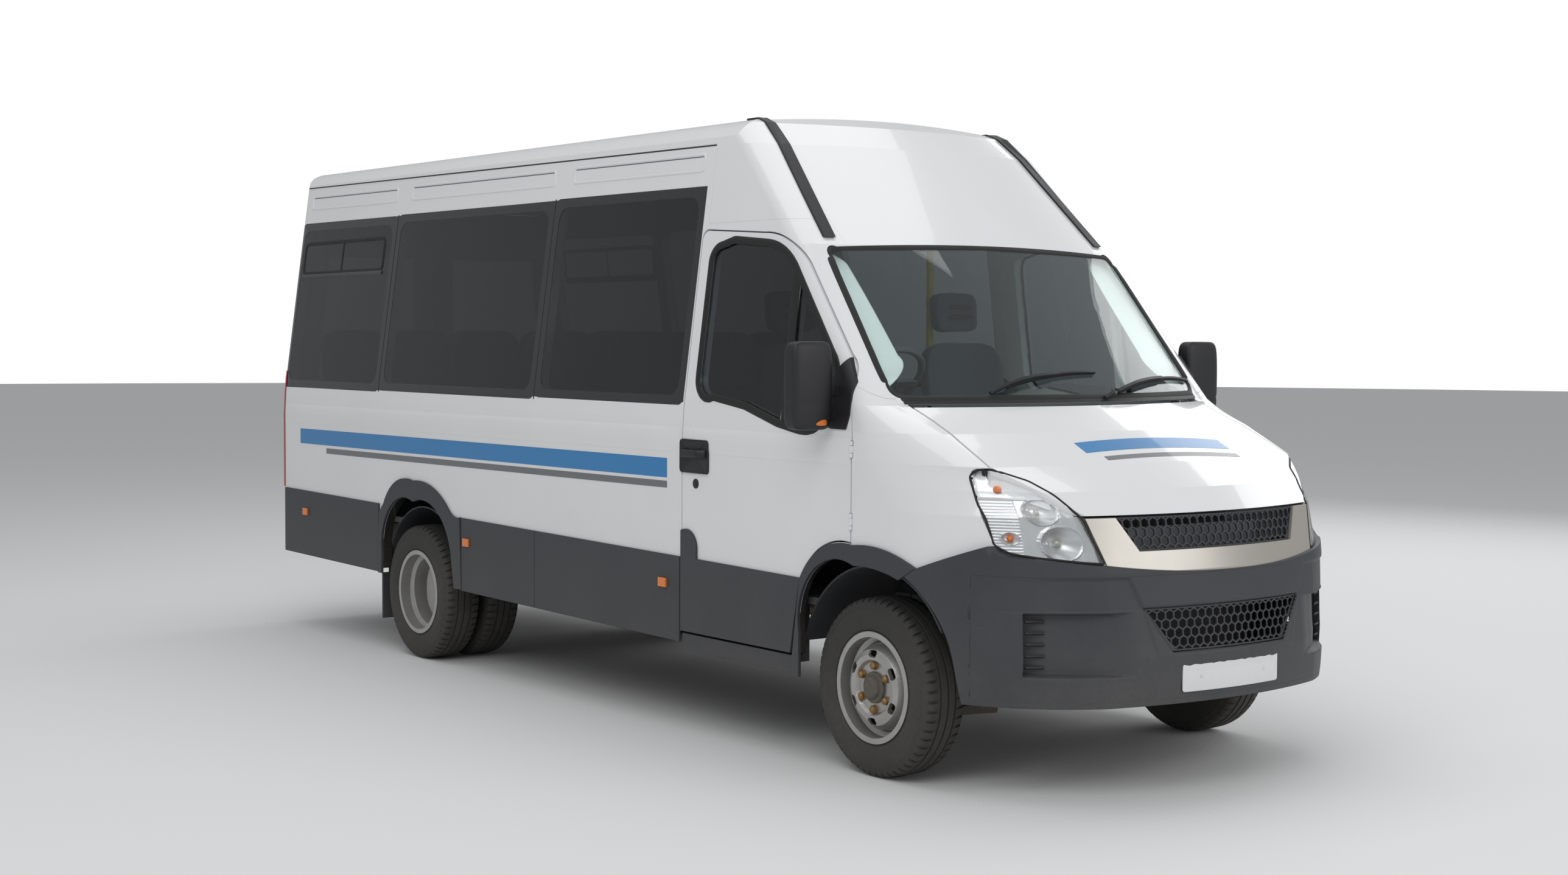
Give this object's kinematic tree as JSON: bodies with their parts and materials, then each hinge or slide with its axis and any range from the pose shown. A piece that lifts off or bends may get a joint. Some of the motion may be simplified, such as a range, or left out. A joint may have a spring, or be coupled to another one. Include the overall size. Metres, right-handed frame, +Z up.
{
  "type": "high-roof minibus",
  "caption": "High-roof white passenger minibus with a short sloping bonnet, dark bonded side windows, tall wing mirrors and twin rear wheels.",
  "frame": {"origin": "on the ground under the middle of the overall length and width", "axes": "+X forward, +Y to the left, +Z up"},
  "size_m": [6.5, 2.384, 2.664],
  "materials": {
    "body_white": "gloss",
    "tinted_glass": "gloss",
    "clear_glass": "gloss",
    "bumper_charcoal": "satin",
    "trim_black": "satin",
    "grille_silver": "satin",
    "lamp_clear": "gloss",
    "lamp_body": "gloss",
    "lamp_red": "gloss",
    "marker_orange": "gloss",
    "cab_grey": "matte",
    "seat_fabric": "matte",
    "steel_dark": "satin",
    "pole_steel": "satin",
    "engine_cast": "matte",
    "radiator_alloy": "matte",
    "exhaust_steel": "matte",
    "rim_silver": "satin",
    "tyre_rubber": "matte"
  },
  "bodies": {
    "body": {"arch_liners": "bumper_charcoal", "chassis_frame": "steel_dark", "dashboard": "cab_grey", "engine": "engine_cast", "exhaust": "exhaust_steel", "floor": "cab_grey", "front_bumper": "bumper_charcoal", "front_seats": "seat_fabric", "front_suspension": "steel_dark", "front_wings": "body_white", "fuel_tank": "steel_dark", "grab_poles": "pole_steel", "grille_mesh": "bumper_charcoal", "grille_surround": "grille_silver", "headlamp_housings": "lamp_body", "headlamp_lenses": "lamp_clear", "leaf_springs": "steel_dark", "passenger_seats": "seat_fabric", "propeller_shaft": "steel_dark", "radiator": "radiator_alloy", "rear_axle": "steel_dark", "rear_bumper": "bumper_charcoal", "roof": "body_white", "roof_strips": "trim_black", "scuttle": "body_white", "seat_frames": "steel_dark", "side_cladding": "bumper_charcoal", "side_glass": "tinted_glass", "side_left": "body_white", "side_markers": "marker_orange", "side_right": "body_white", "sliding_door": "body_white", "steering_wheel": "cab_grey", "tail_lamps": "lamp_red", "windscreen": "clear_glass", "wipers": "trim_black"},
    "door_right": {"door_right": "body_white", "door_glass_right": "tinted_glass", "door_cladding_right": "bumper_charcoal", "mirror_right": "trim_black"},
    "door_left": {"door_left": "body_white", "door_glass_left": "tinted_glass", "door_cladding_left": "bumper_charcoal", "mirror_left": "trim_black"},
    "rear_door_right": {"rear_door_right": "body_white", "rear_glass_right": "tinted_glass"},
    "rear_door_left": {"rear_door_left": "body_white", "rear_glass_left": "tinted_glass"},
    "bonnet": {"bonnet": "body_white"},
    "knuckle_right": {"knuckle_right": "steel_dark"},
    "knuckle_left": {"knuckle_left": "steel_dark"},
    "wheel_front_right": {"front_rim_right": "rim_silver", "front_tyre_right": "tyre_rubber"},
    "wheel_front_left": {"front_rim_left": "rim_silver", "front_tyre_left": "tyre_rubber"},
    "wheel_rear_right": {"rear_rims_right": "rim_silver", "rear_tyres_right": "tyre_rubber"},
    "wheel_rear_left": {"rear_rims_left": "rim_silver", "rear_tyres_left": "tyre_rubber"}
  },
  "joints": [
    {"name": "door_right_hinge", "type": "hinge", "parent": "body", "child": "door_right", "pos_m": [2.169, -0.989, 1.13], "axis": [0, 0, 1], "range_deg": [0, 65]},
    {"name": "rear_door_right_hinge", "type": "hinge", "parent": "body", "child": "rear_door_right", "pos_m": [-3.241, -0.905, 1.16], "axis": [0, 0, 1], "range_deg": [0, 180]},
    {"name": "steer_right", "type": "hinge", "parent": "body", "child": "knuckle_right", "pos_m": [2.25, -0.715, 0.3495], "axis": [0, 0, 1], "range_deg": [-35, 35]},
    {"name": "front_wheel_right", "type": "hinge", "parent": "knuckle_right", "child": "wheel_front_right", "pos_m": [2.25, -0.853, 0.3495], "axis": [0, 1, 0], "continuous": true},
    {"name": "rear_wheel_right", "type": "hinge", "parent": "body", "child": "wheel_rear_right", "pos_m": [-1.5, -0.771, 0.3495], "axis": [0, 1, 0], "continuous": true},
    {"name": "door_left_hinge", "type": "hinge", "parent": "body", "child": "door_left", "pos_m": [2.169, 0.989, 1.13], "axis": [0, 0, -1], "range_deg": [0, 65]},
    {"name": "rear_door_left_hinge", "type": "hinge", "parent": "body", "child": "rear_door_left", "pos_m": [-3.241, 0.905, 1.16], "axis": [0, 0, -1], "range_deg": [0, 180]},
    {"name": "steer_left", "type": "hinge", "parent": "body", "child": "knuckle_left", "pos_m": [2.25, 0.715, 0.3495], "axis": [0, 0, 1], "range_deg": [-35, 35]},
    {"name": "front_wheel_left", "type": "hinge", "parent": "knuckle_left", "child": "wheel_front_left", "pos_m": [2.25, 0.853, 0.3495], "axis": [0, 1, 0], "continuous": true},
    {"name": "rear_wheel_left", "type": "hinge", "parent": "body", "child": "wheel_rear_left", "pos_m": [-1.5, 0.771, 0.3495], "axis": [0, 1, 0], "continuous": true},
    {"name": "bonnet_hinge", "type": "hinge", "parent": "body", "child": "bonnet", "pos_m": [2.275, 0, 1.425], "axis": [0, -1, 0], "range_deg": [0, 50]}
  ],
  "couplings": [
    {"joint": "steer_left", "follows": "steer_right", "ratio": 1}
  ]
}
